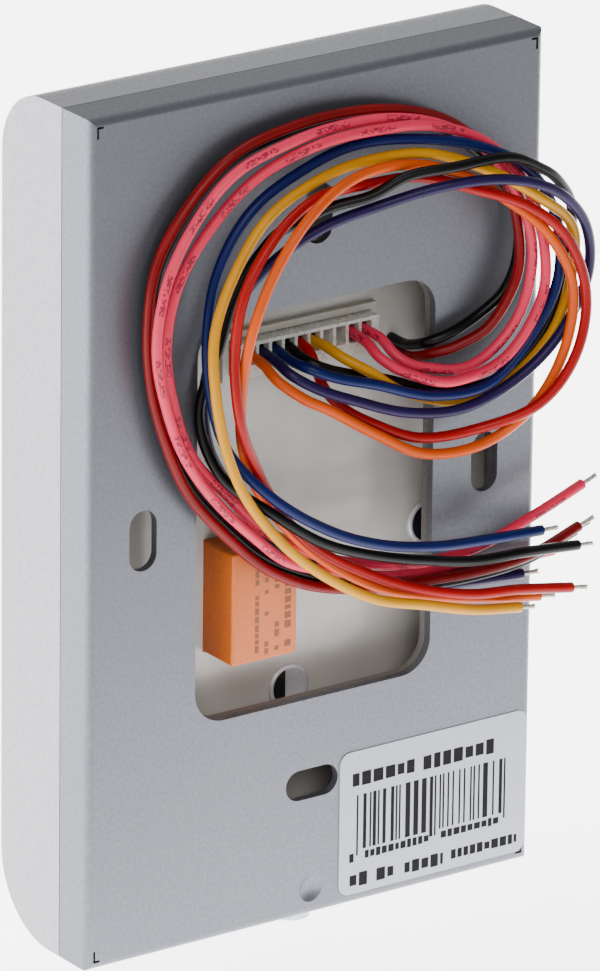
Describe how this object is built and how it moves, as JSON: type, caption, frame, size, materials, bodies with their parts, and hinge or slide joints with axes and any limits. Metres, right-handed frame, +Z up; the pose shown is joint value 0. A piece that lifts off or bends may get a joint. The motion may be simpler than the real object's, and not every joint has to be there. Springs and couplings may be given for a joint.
{
  "type": "keypad access reader",
  "caption": "Wall-mounted keypad and proximity reader in a silver metal case, with its wall bracket, potted electronics and a loose wiring tail.",
  "frame": {"origin": "centre of the rear (wall) plane of the bracket, between its four screw slots", "axes": "+X to the right seen from the front, +Y towards the wall, +Z up the case"},
  "size_m": [0.0765, 0.0324, 0.1164],
  "materials": {
    "cast_silver": "fine metallic silver paint, satin",
    "bracket_silver": "fine metallic silver paint, satin",
    "frame_grey": "dark grey moulded plastic, matt",
    "screw_steel": "plain steel, satin",
    "label_white": "white printed film, matt",
    "board_green": "green solder mask",
    "potting_resin": "warm grey cast resin, glossy",
    "relay_orange": "orange moulded case, semi-gloss",
    "base_black": "black moulded plastic",
    "can_aluminium": "drawn aluminium can, satin",
    "connector_milky": "translucent milky nylon",
    "pin_gold": "gold plated",
    "terminal_tin": "tin plated",
    "silicone_grey": "grey silicone rubber, matt",
    "dome_steel": "stainless snap dome",
    "window_smoke": "smoked polycarbonate, glossy",
    "coil_copper": "enamelled copper winding",
    "lens_clear": "clear acrylic light pipe",
    "led_amber": "amber LED body",
    "chip_black": "moulded package, matt",
    "key_metal": "satin metallic paint, dark legends",
    "wire_orange": "PVC insulation",
    "wire_violet": "PVC insulation",
    "wire_blue": "PVC insulation",
    "wire_black": "PVC insulation",
    "wire_red": "PVC insulation",
    "wire_yellow": "PVC insulation",
    "wire_pink": "PVC insulation with small print marks",
    "strand_tin": "tinned copper strands"
  },
  "bodies": {
    "reader": {"front_housing": "cast_silver", "back_tray": "bracket_silver", "rear_frame": "frame_grey", "security_screw": "screw_steel", "label": "label_white", "main_board": "board_green", "potting": "potting_resin", "relay_case": "relay_orange", "capacitor_bases": "base_black", "capacitor_cans": "can_aluminium", "board_header": "connector_milky", "header_pins": "pin_gold", "wire_plug": "connector_milky", "crimp_terminals": "terminal_tin", "key_mat": "silicone_grey", "key_switches": "dome_steel", "reader_window": "window_smoke", "antenna_coil": "coil_copper", "status_lenses": "lens_clear", "status_leds": "led_amber", "buzzer": "base_black", "control_chip": "chip_black", "voltage_regulator": "chip_black", "stripped_ends": "strand_tin", "wire_orange": "wire_orange", "wire_violet": "wire_violet", "wire_blue": "wire_blue", "wire_black": "wire_black", "wire_red": "wire_red", "wire_yellow": "wire_yellow", "wire_pink_left": "wire_pink", "wire_pink_right": "wire_pink", "wire_pair_red": "wire_red", "wire_pair_black": "wire_black"},
    "key_body_1": {"key_1": "key_metal"},
    "key_body_2": {"key_2": "key_metal"},
    "key_body_3": {"key_3": "key_metal"},
    "key_body_4": {"key_4": "key_metal"},
    "key_body_5": {"key_5": "key_metal"},
    "key_body_6": {"key_6": "key_metal"},
    "key_body_7": {"key_7": "key_metal"},
    "key_body_8": {"key_8": "key_metal"},
    "key_body_9": {"key_9": "key_metal"},
    "key_body_star": {"key_star": "key_metal"},
    "key_body_0": {"key_0": "key_metal"},
    "key_body_hash": {"key_hash": "key_metal"}
  },
  "joints": [
    {"name": "press_key_1", "type": "slide", "parent": "reader", "child": "key_body_1", "axis": [0, 1, 0], "range_m": [0, 0.0008], "stiffness_N_per_m": 300, "springref_m": -0.0015},
    {"name": "press_key_2", "type": "slide", "parent": "reader", "child": "key_body_2", "axis": [0, 1, 0], "range_m": [0, 0.0008], "stiffness_N_per_m": 300, "springref_m": -0.0015},
    {"name": "press_key_3", "type": "slide", "parent": "reader", "child": "key_body_3", "axis": [0, 1, 0], "range_m": [0, 0.0008], "stiffness_N_per_m": 300, "springref_m": -0.0015},
    {"name": "press_key_4", "type": "slide", "parent": "reader", "child": "key_body_4", "axis": [0, 1, 0], "range_m": [0, 0.0008], "stiffness_N_per_m": 300, "springref_m": -0.0015},
    {"name": "press_key_5", "type": "slide", "parent": "reader", "child": "key_body_5", "axis": [0, 1, 0], "range_m": [0, 0.0008], "stiffness_N_per_m": 300, "springref_m": -0.0015},
    {"name": "press_key_6", "type": "slide", "parent": "reader", "child": "key_body_6", "axis": [0, 1, 0], "range_m": [0, 0.0008], "stiffness_N_per_m": 300, "springref_m": -0.0015},
    {"name": "press_key_7", "type": "slide", "parent": "reader", "child": "key_body_7", "axis": [0, 1, 0], "range_m": [0, 0.0008], "stiffness_N_per_m": 300, "springref_m": -0.0015},
    {"name": "press_key_8", "type": "slide", "parent": "reader", "child": "key_body_8", "axis": [0, 1, 0], "range_m": [0, 0.0008], "stiffness_N_per_m": 300, "springref_m": -0.0015},
    {"name": "press_key_9", "type": "slide", "parent": "reader", "child": "key_body_9", "axis": [0, 1, 0], "range_m": [0, 0.0008], "stiffness_N_per_m": 300, "springref_m": -0.0015},
    {"name": "press_key_star", "type": "slide", "parent": "reader", "child": "key_body_star", "axis": [0, 1, 0], "range_m": [0, 0.0008], "stiffness_N_per_m": 300, "springref_m": -0.0015},
    {"name": "press_key_0", "type": "slide", "parent": "reader", "child": "key_body_0", "axis": [0, 1, 0], "range_m": [0, 0.0008], "stiffness_N_per_m": 300, "springref_m": -0.0015},
    {"name": "press_key_hash", "type": "slide", "parent": "reader", "child": "key_body_hash", "axis": [0, 1, 0], "range_m": [0, 0.0008], "stiffness_N_per_m": 300, "springref_m": -0.0015}
  ]
}
